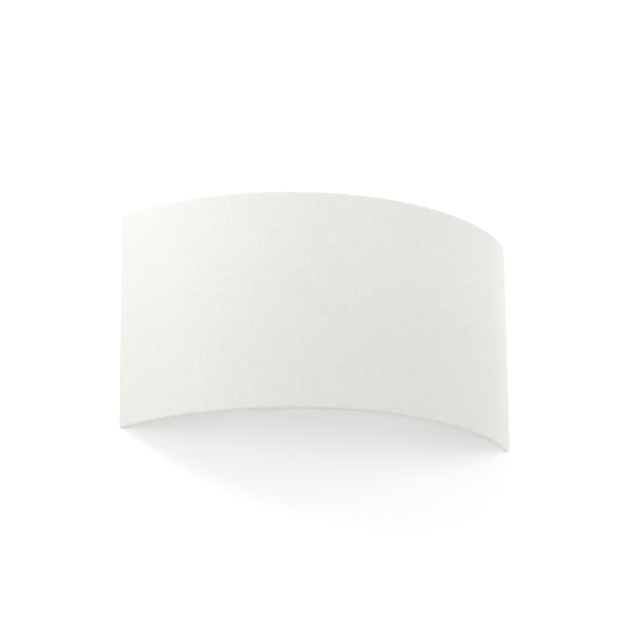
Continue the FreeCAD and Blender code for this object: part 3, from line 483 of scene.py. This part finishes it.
def soften_hems(cloth):
    """Hand-rolled hems: the rolls swell and sink a little, and the lips' cut edges wander."""
    along = cloth.verts.layers.float["along"]
    _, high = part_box("shade_fabric")
    swell, share = 21 * MM, 0.03
    for point in cloth.verts:
        beyond_skin = abs(point[along]) - (high.z - HEM_LIP / 2)
        if beyond_skin > 0:
            wander = noise.noise(Vector((point.co.x / swell, point.co.y / swell, point[along])))
            sunk = min(beyond_skin, HEM_LIP) * share * (wander + 1)
            point.co.z -= math.copysign(sunk, point.co.z)


def mark_corners(mesh_data, sharp=math.radians(40)):
    """Smooth faces, with a crease where two of them meet at more than the angle."""
    for face in mesh_data.faces:
        face.smooth = True
    for edge in mesh_data.edges:
        edge.smooth = edge.calc_face_angle(0) < sharp


def new_piece(name, made, finish):
    """Turn finished mesh data into a piece of the scene, and return it."""
    mesh = bpy.data.meshes.new(name)
    made.to_mesh(mesh)
    made.free()
    mesh.materials.append(finish)
    piece = bpy.data.objects.new(name, mesh)
    bpy.context.scene.collection.objects.link(piece)
    return piece


def make_shade_cloth(finish):
    """The shade's one sheet of cloth, stretched on the liner and rolled in over both wires. It is
    swept a little past the wall, and cut off there."""
    radius, axis_y = shade_arc()
    _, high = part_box("shade_fabric")
    past_wall, arc_steps = 4 * CLOTH_THICKNESS, 180
    swing = 2 * (math.asin(high.x / radius) + past_wall / radius)
    axis = Vector((0, axis_y, 0))
    cloth = bmesh.new()
    cloth.verts.layers.float.new("along")
    line = draw_section(cloth, radius, axis_y)
    height = mark_length(cloth, line)
    bmesh.ops.rotate(cloth, verts=cloth.verts, cent=axis,
                     matrix=Matrix.Rotation(-swing / 2, 3, "Z"))
    bmesh.ops.spin(cloth, geom=cloth.verts[:] + cloth.edges[:], cent=axis, axis=(0, 0, 1),
                   angle=swing, steps=arc_steps)
    bmesh.ops.remove_doubles(cloth, verts=cloth.verts, dist=1e-6)
    bmesh.ops.recalc_face_normals(cloth, faces=cloth.faces)
    soften_hems(cloth)
    bmesh.ops.solidify(cloth, geom=cloth.faces[:], thickness=CLOTH_THICKNESS)
    bmesh.ops.bisect_plane(cloth, geom=cloth.verts[:] + cloth.edges[:] + cloth.faces[:],
                           dist=1e-7, plane_co=(0, 0, 0), plane_no=(0, 1, 0), clear_outer=True)
    open_edges = [edge for edge in cloth.edges if edge.is_boundary]
    bmesh.ops.holes_fill(cloth, edges=open_edges, sides=0)
    lay_threads(cloth, radius, axis_y)
    mark_corners(cloth)
    piece = new_piece("shade_cloth", cloth, finish)
    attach(piece, "shade")
    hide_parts("shade_fabric")
    radius * 2 * math.asin(high.x / radius)


# ---- stage, lights and camera ----

def plain_sheet(name, half_width, half_depth, place, turn, finish):
    """A flat rectangle of the stage, turned about X."""
    made = bmesh.new()
    bmesh.ops.create_grid(made, x_segments=1, y_segments=1, size=1)
    matrix = (Matrix.Translation(place) @ Matrix.Rotation(turn, 4, "X")
              @ Matrix.Diagonal((half_width, half_depth, 1, 1)))
    bmesh.ops.transform(made, matrix=matrix, verts=made.verts)
    piece = new_piece(name, made, finish)
    return piece


def wall_finish():
    """Plain white wall that shows only from the room's side. A glow of its own lifts its tone, and
    that of the shadow on it most."""
    finish = Finish("stage_wall", Roughness=0.9, Base_Color=(0.94, 0.94, 0.94),
                    Specular_IOR_Level=0.0, Emission_Color=(1, 1, 1), Emission_Strength=0.12)
    behind = finish.node("NewGeometry", {}, "Backfacing")
    clear = finish.node("BsdfTransparent", {})
    shown = Socket(finish, finish.shader.outputs[0])
    seen = finish.node("MixShader", {0: behind, 1: shown, 2: clear})
    finish.tree.links.new(seen.socket, finish.tree.nodes["Material Output"].inputs["Surface"])
    return finish.material


def floor_finish():
    """Pale, matt and very slightly clouded floor."""
    finish = Finish("stage_floor", Roughness=0.8, Specular_IOR_Level=0.1)
    cloud = finish.grain(finish.place(), 0.4)
    finish.put(Base_Color=finish.tinted((0.78, 0.78, 0.775), cloud * 0.02 + 0.99))
    return finish.material


def make_stage():
    """A white wall just behind the light, which casts no shadow, so that the lamp and the sky at
    the back still shine through it, and a pale floor well below."""
    half_size, gap, floor_level = 4, 0.4 * MM, -2.4
    wall = plain_sheet("stage_wall", half_size, half_size, (0, gap, 1), math.radians(90),
                       wall_finish())
    wall.visible_shadow = False
    plain_sheet("stage_floor", half_size, half_size, (0, 0, floor_level), 0, floor_finish())


def soft_light(name, direction, distance, width, power):
    """A square white lamp that looks at the shade from an azimuth and an elevation, in degrees."""
    azimuth, elevation = map(math.radians, direction)
    toward = Vector((math.sin(azimuth) * math.cos(elevation),
                     -math.cos(azimuth) * math.cos(elevation), math.sin(elevation)))
    lamp = bpy.data.lights.new(name, "AREA")
    lamp.size = width
    lamp.energy = power
    lit = bpy.data.objects.new(name, lamp)
    lit.location = toward * distance
    lit.rotation_euler = toward.to_track_quat("Z", "Y").to_euler()
    lit.visible_camera = False
    bpy.context.scene.collection.objects.link(lit)


def make_lights():
    """A soft key light from the upper left, fills round it, one behind the wall, and a white sky."""
    soft_light("key_light", (-50, 38), 1.6, 0.9, 11)
    soft_light("left_fill", (-45, -5), 1.8, 0.9, 4.5)
    soft_light("lower_fill", (-15, -35), 2.0, 1.2, 7.6)
    soft_light("right_fill", (72, 5), 1.4, 0.8, 7.9)
    soft_light("back_fill", (200, 25), 1.8, 1.2, 4)

    world = bpy.data.worlds.new("studio")
    world.use_nodes = True
    sky = world.node_tree.nodes["Background"]
    sky.inputs["Color"].default_value = (1, 1, 1, 1)
    sky.inputs["Strength"].default_value = 0.58
    bpy.context.scene.world = world
    bpy.context.scene.view_settings.view_transform = "Standard"


def make_camera():
    """Camera at the photograph's view: from the left and below, looking up along a long lens."""
    azimuth, elevation, roll = map(math.radians, (14.6, 18.13, -0.585))
    target = Vector((-9.6, -50, -3)) * MM
    distance = 2576 * MM
    onward = Vector((math.sin(azimuth) * math.cos(elevation),
                     math.cos(azimuth) * math.cos(elevation), math.sin(elevation)))
    level_right = Vector((math.cos(azimuth), -math.sin(azimuth), 0))
    level_up = level_right.cross(onward)
    right = level_right * math.cos(roll) + level_up * math.sin(roll)
    up = level_up * math.cos(roll) - level_right * math.sin(roll)
    camera = bpy.data.cameras.new("photo_camera")
    camera.sensor_width = 36
    camera.lens = 163.2
    camera.clip_start = 0.05
    camera.clip_end = 50
    eye = bpy.data.objects.new("photo_camera", camera)
    eye.matrix_world = (Matrix.Translation(target - onward * distance)
                        @ Matrix((right, up, -onward)).transposed().to_4x4())
    bpy.context.scene.collection.objects.link(eye)
    bpy.context.scene.camera = eye


def middle_of(node):
    """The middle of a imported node's box at rest."""
    low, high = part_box(node)
    return (low + high) / 2


make_camera()
make_lights()
make_stage()
lamp = middle_of("right_holder_cap")
stud = middle_of("right_thumb_nut")
finishes = make_finishes(lamp.x, lamp.y, stud.x)
dress_nodes(finishes)
make_shade_cloth(finishes["shade_textile"])
